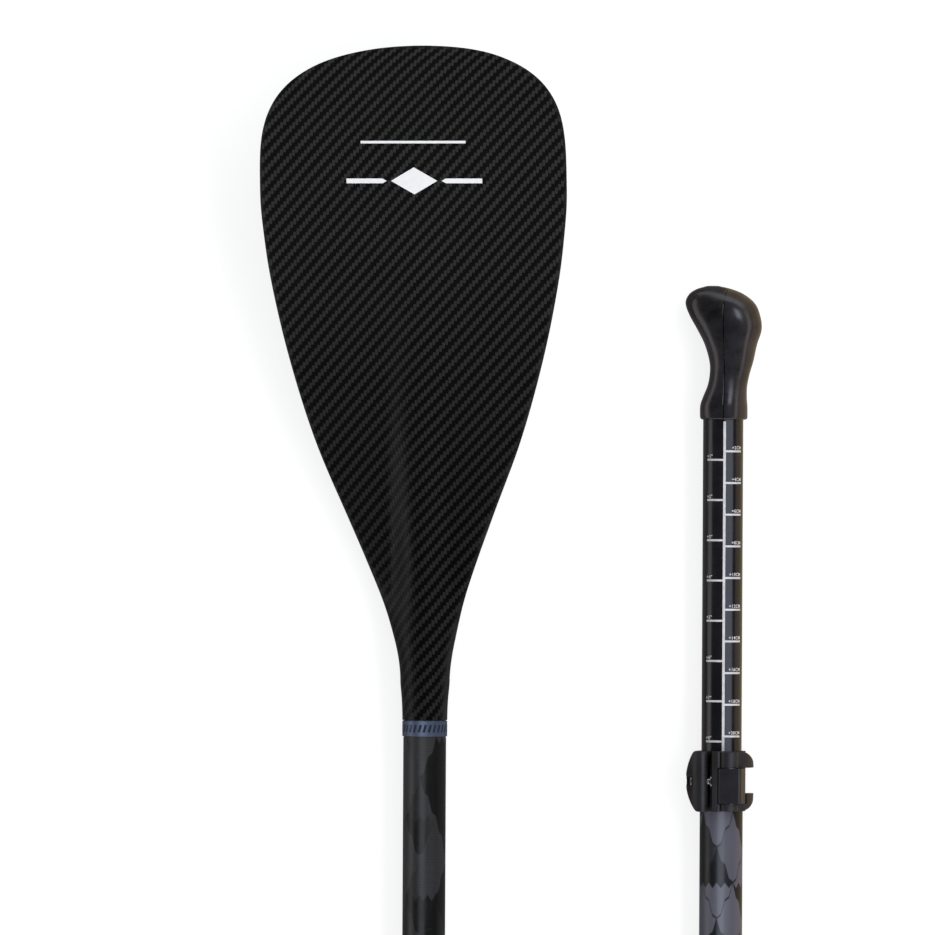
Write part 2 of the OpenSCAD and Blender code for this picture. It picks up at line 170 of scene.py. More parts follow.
# %% Floor
def sheet(name, corners, look):
    """A flat quad that no body carries, so it isn't part of the object."""
    mesh = bpy.data.meshes.new(name)
    mesh.from_pydata(corners, [], [(0, 1, 2, 3)])
    mesh.materials.append(look)
    obj = placed(name, mesh)
    return obj


FLOOR_GLOW = 0.71
floor_look = bpy.data.materials.new("pale_floor")
m = Nodes(floor_look)
paint = m.put("ShaderNodeBsdfDiffuse", {"Color": (0.46, 0.46, 0.46, 1)}).outputs[0]
glow = m.put("ShaderNodeEmission", {"Strength": m.times(m.seen_directly(), FLOOR_GLOW)}).outputs[0]
both = m.put("ShaderNodeAddShader", {0: paint, 1: glow})
m.put("ShaderNodeOutputMaterial", {0: both.outputs[0]})
REACH, FLOOR_Z = 60, -0.0002
sheet("floor", [(x * REACH, y * REACH, FLOOR_Z) for x, y in ((-1, -1), (1, -1), (1, 1), (-1, 1))], floor_look)

# %% [markdown]
# Black gloss shows lamps and nothing else, so the lamps are placed by where their reflections fall. One key
# light does the lighting and isn't mirrored. The other six are only mirrored, so they draw the highlights. The
# photograph's two halves are lit apart, so each of these lamps, but for a warm one on the left, is linked to
# the pieces that show it: a cool wide one to the extension and the clamp, one nearer the camera to the middle
# shaft, one over the blade's shaft, and a short one and a warm one to the grip. Cards that only mirror rays
# see keep the black deep all round, and the brown one on the floor to the right gives the tubes a warm edge.

# %% Softboxes and cards
LONG = 5.0


def softbox(name, angle, size, radiance, colour, hidden_from, distance=2.6, along=0.0):
    """A lamp square to the shafts' middle. The angle leans from straight up towards +X, in degrees."""
    lamp = bpy.data.lights.new(name, "AREA")
    lamp.shape, lamp.size, lamp.size_y = "RECTANGLE", size[0], size[1]
    lamp.energy = radiance * math.pi * size[0] * size[1]
    lamp.color = colour
    holder = placed(name, lamp)
    a = math.radians(angle)
    holder.location = aim + distance * Vector((math.sin(a), 0, math.cos(a)))
    holder.location.y += along
    holder.rotation_euler = (0, a, 0)
    setattr(holder, "visible_" + hidden_from, False)
    return holder


softbox("key_light", 46, (1.0, LONG), 3.4, (0.97, 0.98, 1.0), "glossy")
upper_box = softbox("upper_box", 48, (2.3, LONG), 1.5, (0.76, 0.82, 1.0), "diffuse")
shaft_box = softbox("shaft_box", 14, (1.7, LONG), 2.6, (0.8, 0.86, 1.0), "diffuse")
blade_strip = softbox("blade_strip", 0, (1.5, LONG), 1.15, (0.92, 0.96, 1.0), "diffuse")
neck_box = softbox("neck_box", 30, (0.8, 1.6), 3.0, (0.8, 0.85, 1.0), "diffuse", along=1.3)
warm_box = softbox("warm_box", 72, (0.9, LONG), 0.9, (1.0, 0.86, 0.78), "diffuse")
softbox("soft_left", -64, (1.4, 4.0), 0.65, (1.0, 0.94, 0.92), "diffuse", distance=3.0)


def card(name, corners, level):
    """A flat card of one brightness that only mirror rays see."""
    look = bpy.data.materials.new(name)
    m = Nodes(look)
    m.put("ShaderNodeOutputMaterial", {0: m.put("ShaderNodeEmission", {"Color": (*level, 1)}).outputs[0]})
    obj = sheet(name, corners, look)
    for hidden_from in ("camera", "diffuse", "transmission", "volume_scatter", "shadow"):
        setattr(obj, "visible_" + hidden_from, False)


LEFT, RIGHT, FRONT, BACK, LOW, HIGH = -5, 6, -6, 7, -0.0001, 3.4
UNDER = upper_axis.x
DARK = (0.02, 0.02, 0.022)
for name, x0, x1, z0, z1, level in (
        ("card_above", LEFT, RIGHT, HIGH, HIGH, DARK),
        ("card_below", LEFT, UNDER, LOW, LOW, (0.16, 0.15, 0.15)),
        ("card_brown", UNDER, RIGHT, LOW, LOW, (0.5, 0.38, 0.25)),
        ("card_left", LEFT, LEFT, LOW, HIGH, (0.3, 0.27, 0.27)), ("card_right", RIGHT, RIGHT, LOW, HIGH, DARK)):
    card(name, [(x0, FRONT, z0), (x1, FRONT, z1), (x1, BACK, z1), (x0, BACK, z0)], level)

# %% [markdown]
# ## Shader groups
# Effects that materials share are node groups, each built once: the weave, the wound tape's rings, the
# moulded grain, the marks of use and the harlequin. A group puts out only masks, heights and tones, and the
# shader that uses them stays in the material.

# %% Group builder
class Group(Nodes):
    """A node group under construction."""

    def __init__(self, name, inputs, outputs, family="Shader", gives="Float"):
        """The inputs are names with their defaults, or with their kind where they have none."""
        self.tree = bpy.data.node_groups.new(name, family + "NodeTree")
        for label, value in inputs.items():
            kind = {float: "Float", int: "Int", tuple: "Vector"}.get(type(value), value)
            socket = self.tree.interface.new_socket(name=label, in_out="INPUT", socket_type="NodeSocket" + kind)
            if kind != value:
                socket.default_value = value
        for label in outputs:
            self.tree.interface.new_socket(name=label, in_out="OUTPUT", socket_type="NodeSocket" + gives)
        self.count = 0
        self.given = self.put("NodeGroupInput").outputs
        self.end = self.put("NodeGroupOutput", location=(1600, 0))

    def ramp(self, value, low, high):
        """0 below low, 1 above high, smooth between."""
        return self.put("ShaderNodeMapRange", {"Value": value, "From Min": low, "From Max": high},
                        interpolation_type="SMOOTHSTEP").outputs["Result"]

    def split(self, vector):
        made = self.put("ShaderNodeSeparateXYZ", {0: vector})
        return made.outputs[0], made.outputs[1], made.outputs[2]

    def join(self, x, y, z=0.0):
        return self.put("ShaderNodeCombineXYZ", {0: x, 1: y, 2: z}).outputs[0]

    def noise(self, vector, scale, detail=2.0, roughness=0.5):
        return self.put("ShaderNodeTexNoise", {"Vector": vector, "Scale": scale, "Detail": detail,
                                               "Roughness": roughness}).outputs["Fac"]

    def finish(self, **results):
        for label, socket in results.items():
            self.tree.links.new(socket, self.end.inputs[label])
        print("group", self.tree.name, "has", len(self.tree.nodes), "nodes")
        return self.tree


# %% [markdown]
# A 2x2 twill passes each tow over two and under two, one step further in every row, which draws the slanting
# steps. The cell's two numbers tell which tow is on top: their difference modulo 4 is below 2 for the upright
# ones. The same numbers give each tow its rounded back, for the bump.

# %% Twill weave
g = Group("twill_weave", {"Vector": "Vector", "Tow Across": 0.002, "Tow Along": 0.0022},
          ["Upright", "Height", "Fibre"])
u, v, _ = g.split(g.given["Vector"])
wander = g.math("MULTIPLY_ADD", g.noise(g.given["Vector"], 26.0, 2.0), 0.9, -0.45)
across = g.plus(g.math("DIVIDE", u, g.given["Tow Across"]), wander)
along = g.plus(g.math("DIVIDE", v, g.given["Tow Along"]), wander)
column, row = g.math("FLOOR", across), g.math("FLOOR", along)
part_across, part_along = g.math("FRACT", across), g.math("FRACT", along)
step = g.math("FLOORED_MODULO", g.math("SUBTRACT", column, row), 4.0)
upright = g.math("LESS_THAN", step, 1.5)
# Share of the way along the float of two cells, for upright and for level tows
rise = g.times(g.plus(g.math("SUBTRACT", 1.0, step), part_along), 0.5)
run = g.times(g.plus(g.math("SUBTRACT", step, 2.0), part_across), 0.5)


def arch(share):
    return g.math("SINE", g.times(share, math.pi))


def choose(mask, yes, no):
    return g.plus(g.times(mask, g.math("SUBTRACT", yes, no)), no)


back = choose(upright, g.times(arch(part_across), arch(rise)), g.times(arch(part_along), arch(run)))
fine_up = g.noise(g.join(g.times(u, 5000.0), g.times(v, 260.0)), 1.0, 1.0)
fine_level = g.noise(g.join(g.times(u, 260.0), g.times(v, 5000.0)), 1.0, 1.0)
twill = g.finish(Upright=upright, Height=g.math("POWER", g.math("MAXIMUM", back, 0.0), 0.6),
                 Fibre=choose(upright, fine_up, fine_level))

# %% [markdown]
# The tubes are wound with heat-shrink tape, which leaves one fine thread of a ridge round and round the tube.
# u runs round the tube, v along it, so a ridge that climbs one pitch per turn needs no seam.

# %% Rings of the wound tape
g = Group("tape_rings", {"Vector": "Vector", "Round": 0.0855, "Pitch": 0.0018}, ["Height", "Tone"])
u, v, _ = g.split(g.given["Vector"])
turns = g.plus(g.math("DIVIDE", v, g.given["Pitch"]), g.math("DIVIDE", u, g.given["Round"]))
ridge = g.math("POWER", g.math("ABSOLUTE", g.math("SINE", g.times(turns, math.pi))), 0.35)
uneven = g.noise(g.join(0.0, g.times(v, 420.0)), 1.0, 2.0)
rings = g.finish(Height=g.times(ridge, g.math("MULTIPLY_ADD", uneven, 0.8, 0.4)), Tone=uneven)

# %% Moulded grain
g = Group("moulded_grain", {"Vector": "Vector", "Grain": 3200.0, "Cloud": 70.0}, ["Height", "Tone"])
fine = g.noise(g.given["Vector"], g.given["Grain"], 3.0, 0.6)
cloud = g.noise(g.given["Vector"], g.given["Cloud"], 4.0, 0.6)
grain = g.finish(Height=fine, Tone=cloud)

# %% Marks of use
g = Group("marks_of_use", {"Vector": "Vector", "Amount": 0.5}, ["Scratch", "Smudge", "Dust"])
x, y, z = g.split(g.given["Vector"])
drift = g.noise(g.given["Vector"], 9.0, 2.0)
slant = g.plus(x, g.times(drift, 0.02))
stretched = g.join(*(g.times(c, s) for c, s in ((slant, 900.0), (y, 14.0), (z, 300.0))))
lines = g.noise(stretched, 1.0, 2.0)
patches = g.ramp(g.noise(g.given["Vector"], 18.0, 3.0), 0.46, 0.7)
scratch = g.times(g.times(g.ramp(lines, 0.69, 0.76), patches), g.given["Amount"])
smudge = g.ramp(g.noise(g.given["Vector"], 34.0, 4.0, 0.65), 0.35, 0.75)
specks = g.times(g.ramp(g.noise(g.given["Vector"], 900.0, 1.0), 0.76, 0.82), g.given["Amount"])
marks = g.finish(Scratch=scratch, Smudge=smudge, Dust=specks)

# %% [markdown]
# ## Materials
# Each finish starts from its colour in the record and gets what the real one shows: weave, rings, grain, a
# slightly uneven gloss and light marks of use. The shader and its constant values stay in the material.

# %% Material builder
class Look(Group):
    """A material under construction, with the same calls as a group and one Principled shader."""

    def __init__(self, name, **constants):
        self.material = bpy.data.materials.new(name)
        self.material.use_nodes = True
        self.tree = self.material.node_tree
        self.shader = self.tree.nodes["Principled BSDF"]
        self.shader.location = (1300, 0)
        self.tree.nodes["Material Output"].location = (1650, 0)
        self.count = 0
        for label, value in constants.items():
            self.shader.inputs[label.replace("_", " ")].default_value = value

    def coordinates(self, kind):
        return self.put("ShaderNodeTexCoord").outputs[kind]

    def group(self, tree, **values):
        """A shared effect's outputs. Its inputs are given by name, with _ for a space."""
        values = {label.replace("_", " "): value for label, value in values.items()}
        return self.put("ShaderNodeGroup", values, node_tree=tree).outputs

    def blend(self, factor, low, high):
        """A colour between two, by a mask."""
        low, high = (c if isinstance(c, bpy.types.NodeSocket) else (*c, 1) for c in (low, high))
        return self.put("ShaderNodeMix", {0: factor, 6: low, 7: high}, data_type="RGBA").outputs[2]

    def bump(self, height, depth_mm):
        return self.put("ShaderNodeBump", {"Height": height, "Distance": depth_mm * MM}).outputs[0]

    def done(self, **results):
        for label, socket in results.items():
            self.tree.links.new(socket, self.shader.inputs[label.replace("_", " ")])
        return self.material

    def worn(self, use, base, pale, spread, roughness, height, depth_mm):
        """The material with scratches and dust at half strength over its colour, and smudges in its gloss."""
        share = self.times(self.math("MAXIMUM", use["Scratch"], use["Dust"]), 0.5)
        return self.done(Base_Color=self.blend(share, base, pale),
                         Roughness=self.math("MULTIPLY_ADD", use["Smudge"], spread, roughness),
                         Normal=self.bump(height, depth_mm))


def grey(value):
    return (value, value, value)


# %% [markdown]
# The blade's weave is laid on the piece's own UV map, which holds real metres along the cloth, so the tows
# keep their width over the spine and round the neck. The attribute near_rim is 1 at the blade's edge: there
# the resin bead is a little darker, and scuffs gather.

# %% Woven carbon
m = Look("woven_carbon", Specular_IOR_Level=0.2, Coat_Weight=0.05, Coat_Roughness=0.2)
cloth = m.coordinates("UV")
weave = m.group(twill, Vector=cloth)
use = m.group(marks, Vector=m.coordinates("Object"), Amount=0.6)
rim = m.put("ShaderNodeAttribute", attribute_name="near_rim").outputs["Fac"]
# Painted sheen and shade: the upright tows are painted lighter than the level ones, for the light that the
# fibres catch, and all tows are painted darker towards the neck, where that sheen fades.
sheen_up_the_blade = m.ramp(m.split(cloth)[1], 0.08, 0.36)
level_tow = m.blend(sheen_up_the_blade, m.blend(weave["Fibre"], grey(0.001), grey(0.003)),
                    m.blend(weave["Fibre"], grey(0.003), grey(0.007)))
shaded_neck_tow = m.blend(weave["Fibre"], grey(0.008), grey(0.024))
sheen_upright_tow = m.blend(sheen_up_the_blade, shaded_neck_tow, m.blend(weave["Fibre"], grey(0.019), grey(0.04)))
tows = m.blend(weave["Upright"], level_tow, sheen_upright_tow)
gaps = m.blend(m.ramp(weave["Height"], 0.02, 0.45), grey(0.003), tows)
bead = m.blend(m.ramp(rim, 0.72, 0.95), gaps, grey(0.008))
scuffs = m.times(m.ramp(rim, 0.4, 1.0), use["Smudge"])
woven_carbon = m.done(
    Base_Color=m.blend(m.times(m.math("MAXIMUM", scuffs, use["Dust"]), 0.35), bead, grey(0.06)),
    Roughness=m.plus(m.math("MULTIPLY_ADD", use["Smudge"], 0.12, 0.36), m.times(use["Scratch"], 0.25)),
    Normal=m.bump(weave["Height"], 0.1))

# %% [markdown]
# The middle shaft carries a tone-on-tone harlequin of slim rhombi, four round the tube, and the lower shaft a
# fainter one. Two slanting coordinates number the rhombi, and a hash of the two numbers, taken modulo four so
# that the tube closes, gives each its own grey, with a little shading across it. Draw picks another hash.

# %% Harlequin on a tube
g = Group("harlequin", {"Vector": "Vector", "Round": 0.0855, "Length": 0.045, "Turn": 0.5, "Draw": 0.0},
          ["Tone", "Edge"])
u, v, _ = g.split(g.given["Vector"])
a = g.math("MULTIPLY_ADD", g.math("DIVIDE", u, g.given["Round"]), 4.0, g.given["Turn"])
b = g.math("DIVIDE", v, g.given["Length"])
teeth = g.math("PINGPONG", g.times(a, 4.0), 0.5)
b = g.plus(b, g.times(teeth, 0.16))
p, q = g.plus(a, b), g.math("SUBTRACT", a, b)
cell = g.join(*(g.math("FLOORED_MODULO", g.math("FLOOR", c), 4.0) for c in (p, q)),
              g.plus(g.math("FLOOR", b), g.given["Draw"]))
chance = g.put("ShaderNodeTexWhiteNoise", {"Vector": cell}, noise_dimensions="3D").outputs["Value"]
fold = g.plus(g.times(g.math("FRACT", p), 0.5), g.times(g.math("FRACT", q), 0.5))
tone = g.plus(g.times(chance, 0.75), g.times(fold, 0.25))
to_edge = g.math("MINIMUM", g.math("PINGPONG", p, 0.5), g.math("PINGPONG", q, 0.5))
harlequin = g.finish(Tone=tone, Edge=g.ramp(to_edge, 0.0, 0.03))

# %% Tubes
m = Look("wound_carbon", Specular_IOR_Level=0.5)
cloth = m.coordinates("UV")
wound = m.group(rings, Vector=cloth)
facets = m.group(harlequin, Vector=cloth, Length=0.05, Draw=2.0)
use = m.group(marks, Vector=m.coordinates("Object"), Amount=0.5)
tone = m.blend(m.ramp(facets["Tone"], 0.4, 0.6), grey(0.007), (0.028, 0.028, 0.031))
dark = m.blend(m.ramp(wound["Height"], 0.1, 0.5), grey(0.004), tone)
wound_carbon = m.worn(use, dark, grey(0.07), 0.12, 0.27, wound["Height"], 0.03)

m = Look("faceted_print", Specular_IOR_Level=0.4, Coat_Weight=0.2, Coat_Roughness=0.18)
cloth = m.coordinates("UV")
wound = m.group(rings, Vector=cloth)
facets = m.group(harlequin, Vector=cloth, Draw=5.0)
use = m.group(marks, Vector=m.coordinates("Object"), Amount=0.5)
tone = m.blend(m.ramp(facets["Tone"], 0.38, 0.7), (0.006, 0.006, 0.008), (0.085, 0.086, 0.112))
lined = m.blend(facets["Edge"], (0.008, 0.008, 0.01), tone)
faceted_print = m.worn(use, lined, grey(0.12), 0.14, 0.32, wound["Height"], 0.015)

m = Look("gloss_tube", Specular_IOR_Level=0.45, Coat_Weight=0.5, Coat_Roughness=0.1)
cloth = m.coordinates("UV")
wound = m.group(rings, Vector=cloth, Round=0.0798)
use = m.group(marks, Vector=m.coordinates("Object"), Amount=0.7)
base = m.blend(use["Smudge"], (0.007, 0.007, 0.009), (0.012, 0.012, 0.015))
gloss_tube = m.worn(use, base, grey(0.1), 0.12, 0.2, wound["Height"], 0.004)

# %% Moulded plastics
def moulded(name, low, high, roughness, grain_mm, cloud=70.0, amount=0.4, wave=1.0, seam=None, **constants):
    """Plastic with a moulded skin. Where a piece carries the painted-shade attribute, its hollow is painted
    near black. wave is the depth of its slow dents in grains, and seam the x of the line that the mould's
    halves leave."""
    m = Look(name, **constants)
    place = m.coordinates("Object")
    skin = m.group(grain, Vector=place, Cloud=cloud)
    use = m.group(marks, Vector=place, Amount=amount)
    recess = m.put("ShaderNodeAttribute", attribute_name="recess").outputs["Fac"]
    # Painted shade: where the attribute is 1 the colour goes near black, standing in for the shade inside a
    # hollow.
    base = m.blend(recess, m.blend(m.ramp(skin["Tone"], 0.3, 0.7), low, high), grey(0.0015))
    dents = m.put("ShaderNodeTexNoise", {"Vector": place, "Scale": 50.0, "Detail": 0.0}).outputs["Fac"]
    height = m.math("MULTIPLY_ADD", dents, wave, skin["Height"])
    if seam is not None:
        line = m.ramp(m.math("ABSOLUTE", m.math("SUBTRACT", m.split(place)[0], seam)), 0.0001, 0.0007)
        base = m.blend(line, grey(0.001), base)
        height = m.plus(height, m.times(line, 20.0))
    pale = tuple(min(1.0, c * 2.5 + 0.05) for c in high)
    return m.worn(use, base, pale, 0.15, roughness, height, grain_mm)


black_nylon = moulded("black_nylon", (0.012, 0.011, 0.0125), (0.019, 0.0175, 0.02), 0.4, 0.02)
grey_nylon = moulded("grey_nylon", (0.012, 0.0115, 0.0135), (0.018, 0.0175, 0.021), 0.34, 0.012)
grip_plastic = moulded("grip_plastic", (0.004, 0.0038, 0.0045), (0.022, 0.02, 0.024), 0.2, 0.006, 50.0, 0.6,
                       wave=420.0, seam=upper_axis.x + 0.003, Specular_IOR_Level=0.8)
ferrule_carbon = moulded("ground_carbon", grey(0.018), grey(0.034), 0.5, 0.015)
natural_nylon = moulded("natural_nylon", (0.6, 0.58, 0.52), (0.72, 0.7, 0.64), 0.45, 0.01)
white_ink = moulded("white_ink", grey(0.9), grey(0.95), 0.5, 0.004, 300.0, 0.3)
scale_ink = moulded("scale_ink", grey(0.5), grey(0.62), 0.4, 0.004, 300.0, 0.5)
navy_ink = moulded("navy_ink", (0.012, 0.016, 0.034), (0.02, 0.027, 0.05), 0.4, 0.004, 300.0)

# %% Foams and metals
def foam(name, low, high, cells):
    m = Look(name, Roughness=0.9)
    place = m.coordinates("Object")
    bubbles = m.put("ShaderNodeTexVoronoi", {"Vector": place, "Scale": cells}).outputs["Distance"]
    skin = m.group(grain, Vector=place, Cloud=120.0)
    return m.done(Base_Color=m.blend(m.ramp(bubbles, 0.05, 0.5), low, m.blend(skin["Tone"], low, high)),
                  Normal=m.bump(bubbles, 0.15))


core_foam = foam("core_foam", (0.6, 0.54, 0.4), (0.76, 0.7, 0.55), 1400.0)
bung_foam = foam("bung_foam", grey(0.07), grey(0.12), 1100.0)


def brushed(name, low, high, roughness, stretch, metallic):
    m = Look(name, Metallic=metallic)
    place = m.coordinates("Object")
    lines = m.noise(m.join(*(m.times(c, s) for c, s in zip(m.split(place), stretch))), 1.0, 3.0)
    smudge = m.times(m.group(marks, Vector=place, Amount=0.4)["Smudge"], 0.08)
    return m.done(Base_Color=m.blend(lines, low, high), Normal=m.bump(lines, 0.004),
                  Roughness=m.plus(m.math("MULTIPLY_ADD", lines, 0.12, roughness), smudge))


band_metal = brushed("band_metal", (0.08, 0.11, 0.18), (0.14, 0.175, 0.26), 0.26, (300.0, 9000.0, 300.0), 0.6)
steel = brushed("turned_steel", grey(0.52), grey(0.7), 0.2, (9000.0, 900.0, 900.0), 1.0)

for node, finish in {
    "blade_core": core_foam, "shaft_bung": bung_foam, "float_plug": bung_foam, "button_spring": steel,
    "barrel_pin": steel, "screw_washer": steel, "guide_bush": natural_nylon, "extension_plug": black_nylon,
    "handle_spigot": black_nylon,
}.items():
    frame["nodes"][node].material_slots[0].material = finish
print(len(bpy.data.materials), "materials,", len(bpy.data.node_groups), "groups")

# %% [markdown]
# ## Meshes
# Every piece of this lesson is a grid of points bent into shape, so one function makes the mesh from
# points, faces and a UV pair for each corner, and another joins it to its body and hides the CAD nodes it
# stands for.

# %% Piece builder
def finish_piece(obj, body, look, stands_for=(), sharp=35):
    obj.data.materials.clear()
    obj.data.materials.append(look)
    obj.data.shade_smooth()
    obj.data.set_sharp_from_angle(angle=math.radians(sharp))
    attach(obj, body)
    if stands_for:
        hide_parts(*stands_for)
    print(f"{obj.name}: {sum(len(f.vertices) - 2 for f in obj.data.polygons)} triangles, rides on {body}")
    return obj


def new_piece(name, points, faces, corners=None):
    mesh = bpy.data.meshes.new(name)
    mesh.from_pydata(points, [], faces)
    if corners:
        layer = mesh.uv_layers.new(name="cloth")
        layer.data.foreach_set("uv", [value for face in corners for pair in face for value in pair])
    return placed(name, mesh)


def outwards(obj):
    """Joins doubled points and turns every face of a closed shell outwards."""
    shell = bmesh.new()
    shell.from_mesh(obj.data)
    bmesh.ops.remove_doubles(shell, verts=shell.verts, dist=1e-7)
    bmesh.ops.recalc_face_normals(shell, faces=shell.faces)
    open_edges = sum(1 for e in shell.edges if not e.is_manifold)
    shell.to_mesh(obj.data)
    shell.free()
    if open_edges:
        print("  ", obj.name, "has", open_edges, "open edges")
    return obj


def slab(rows, cols):
    """Faces of two equal grids of points, one behind the other, and of the walls round their border."""
    shift = rows * cols
    faces = [(i * cols + j, i * cols + j + 1, (i + 1) * cols + j + 1, (i + 1) * cols + j)
             for i in range(rows - 1) for j in range(cols - 1)]
    faces += [tuple(shift + k for k in reversed(f)) for f in faces]
    border = list(range(cols)) + [i * cols + cols - 1 for i in range(1, rows)]
    border += [(rows - 1) * cols + j for j in range(cols - 2, -1, -1)]
    border += [i * cols for i in range(rows - 2, 0, -1)]
    return faces + [(a, shift + a, shift + b, b) for a, b in zip(border, border[1:] + border[:1])]


def round_turn(sides):
    """Angles of a ring of points."""
    return [2 * math.pi * k / sides for k in range(sides)]


def join_up(parts):
    """Points and faces of several shapes as one list of each."""
    points, faces = [], []
    for laid, made in parts:
        faces += [tuple(len(points) + k for k in f) for f in made]
        points += laid
    return points, faces


def band_faces(ring, after, sides):
    """Faces between two rings of points, given by their numbers."""
    return [(ring * sides + k, ring * sides + k1, after * sides + k1, after * sides + k)
            for k, k1 in ((k, (k + 1) % sides) for k in range(sides))]


# %% [markdown]
# ## The blade
# The blade is two carbon skins over a foam core. Its outline, lift and depth follow rules: half a width for
# every y, a bend, and a spine that fades. A sculpted mesh could match one picture, but the same rules as in
# CAD, on a finer grid, keep the skins on their core, so they are written out again here, in millimetres.

# %% Rules of the blade
def slope(line, i):
    if i in (0, len(line) - 1):
        return 0
    return (line[i + 1][1] - line[i - 1][1]) / (line[i + 1][0] - line[i - 1][0])


def curve(line, x):
    """A smooth curve through stations, level at both ends."""
    i = 0
    while i < len(line) - 2 and x >= line[i + 1][0]:
        i += 1
    h = line[i + 1][0] - line[i][0]
    t = (x - line[i][0]) / h
    return (line[i][1] * (2 * t ** 3 - 3 * t ** 2 + 1) + h * slope(line, i) * (t ** 3 - 2 * t ** 2 + t)
            + line[i + 1][1] * (3 * t ** 2 - 2 * t ** 3) + h * slope(line, i + 1) * (t ** 3 - t ** 2))


def ease(a, b, x):
    t = min(max((x - a) / (b - a), 0), 1)
    return t * t * (3 - 2 * t)


BLADE_LEN, HALF_BLADE, CROWN, NECK_Y, NECK_TOP, NECK_HALF = 437, 99.5, 90.9, 10.6, 36, 15.7
WIDEST_Y = BLADE_LEN - CROWN
BEND_FROM, BEND_TO, TILT = 60, 145, math.radians(10)
BEND_R = (BEND_TO - BEND_FROM) / math.sin(TILT)
EDGE_R, SKIN_T, SPIGOT_R, CORE_Y = 1.3, 0.9, 13.5, 62
NECK_LINE = [(NECK_Y, 14.3), (23.5, 14.7), (NECK_TOP, NECK_HALF)]
FLANK_LINE = [(0, 0), (0.04, 0.013), (0.08, 0.043), (0.16, 0.125), (0.25, 0.25), (0.33, 0.37), (0.49, 0.61),
              (0.66, 0.8), (0.82, 0.93), (0.94, 0.9885), (1, 1)]
MID_LINE = [(46, 0), (110, -1.9), (163, -2.3), (265, -1), (341, 0.3), (379, 1.3), (404, 3.1), (417, 4.6),
            (428, 6.5), (BLADE_LEN, 9.5)]
NECK_DEPTH = [(NECK_Y, 14.3), (24, 15.3), (42, 16), (60, 15.9), (110, 13), (160, 9)]
BACK_SPINE = [(60, 12), (110, 9.5), (170, 6), (240, 2.6), (330, 0.3), (BLADE_LEN, 0)]
FACE_SPINE = [(60, 11), (110, 6.5), (160, 2.6), (220, 0.4), (BLADE_LEN, 0)]
BODY_DEPTH = [(60, 3.6), (200, 3.9), (330, 3.2), (BLADE_LEN, 1.9)]


def half_width(y):
    if y <= NECK_TOP:
        return curve(NECK_LINE, y)
    if y <= WIDEST_Y:
        share = (y - NECK_TOP) / (WIDEST_Y - NECK_TOP)
        return NECK_HALF + (HALF_BLADE - NECK_HALF) * curve(FLANK_LINE, share)
    left = max(BLADE_LEN - y, 0.05) / CROWN
    return HALF_BLADE * (1 - (1 - left) ** 3.6) ** (1 / 2.2)


def mid(y):
    return 0 if y <= 46 else curve(MID_LINE, y)


def lift(y):
    if y <= BEND_FROM:
        return 0
    if y <= BEND_TO:
        return BEND_R - math.sqrt(BEND_R ** 2 - (y - BEND_FROM) ** 2)
    return BEND_R * (1 - math.cos(TILT)) + (y - BEND_TO) * math.tan(TILT)


def depth(y, share, spine):
    """Half the blade's depth at y, at a share of its half width."""
    w, k, high = half_width(y), ease(46, 120, y), max(y, 60)
    neck = curve(NECK_DEPTH, min(y, 160)) * math.sqrt(max(1 - share * share, 0))
    q = w * (1 - abs(share))
    edge = EDGE_R if q >= EDGE_R else math.sqrt(max(EDGE_R ** 2 - (EDGE_R - q) ** 2, 0))
    r = abs(share) * w / min(w, 21)
    bell = 0 if r >= 1 else (1 - r * r) ** 2
    blade = edge + (curve(BODY_DEPTH, high) - EDGE_R) * (1 - share * share) + curve(spine, high) * bell
    return max((1 - k) * neck + k * blade, 0.1)


# %% [markdown]
# Each skin is a grid of rows across the blade, closed by its inner face. The rows crowd together near the tip
# and the columns near the edges, where the shape turns fastest. u is measured over the bulge from the
# midline, as cloth lies, and v along the midline.

# %% Skins
steps = [NECK_Y + (CORE_Y - 2 - NECK_Y) * k / 20 for k in range(21)]
steps += [CORE_Y + (WIDEST_Y - CORE_Y) * k / 96 for k in range(97)]
steps += [BLADE_LEN - CROWN * (k / 40) ** 2 for k in range(39, -1, -1)]
COLUMNS = 48
shares = [math.sin(math.pi / 2 * j / COLUMNS) for j in range(-COLUMNS, COLUMNS + 1)]


def on_blade(x, y, z):
    return Vector((blade_axis.x + x * MM, band_y + y * MM, blade_axis.z + z * MM))


def inner_depth(y, share, spine):
    if y > BLADE_LEN - 1 or half_width(y) * (1 - abs(share)) < 2:
        return 0.02
    return max(depth(y, share, spine) - SKIN_T, 0.02)


def skin(name, side, spine, node):
    outer, inner, cloth, rims = [], [], [], []
    v = 0
    for i, y in enumerate(steps):
        w = half_width(y)
        line = [(s * w, side * depth(y, s, spine)) for s in shares]
        if i:
            v += math.hypot(y - steps[i - 1], lift(y) - lift(steps[i - 1]))
        reach = [0.0] * len(line)
        for j in range(COLUMNS + 1, len(line)):
            reach[j] = reach[j - 1] + math.dist(line[j], line[j - 1])
        for j in range(COLUMNS - 1, -1, -1):
            reach[j] = reach[j + 1] - math.dist(line[j], line[j + 1])
        outer += [on_blade(mid(y) + x, y, lift(y) + z) for x, z in line]
        if y < CORE_Y:
            inner += [on_blade(SPIGOT_R * s, y, side * max(SPIGOT_R * math.sqrt(max(1 - s * s, 0)), 0.02))
                      for s in shares]
        else:
            inner += [on_blade(mid(y) + s * w, y, lift(y) + side * inner_depth(y, s, spine)) for s in shares]
        cloth += [(r * MM, v * MM) for r in reach]
        from_tip = BLADE_LEN - y
        rims += [1 - min(1, min(w * (1 - abs(s)), from_tip * 0.8) / 6) for s in shares]
    faces = slab(len(steps), len(shares))
    corners = [[cloth[k % len(cloth)] for k in f] for f in faces]
    piece = new_piece(name, outer + inner, faces, corners)
    near = piece.data.attributes.new("near_rim", "FLOAT", "POINT")
    near.data.foreach_set("value", rims + rims)
    outwards(piece)
    return finish_piece(piece, "blade_section", woven_carbon, [node], sharp=50)


skin("blade_back", 1, BACK_SPINE, "blade_back_skin")
skin("blade_face", -1, FACE_SPINE, "blade_face_skin")

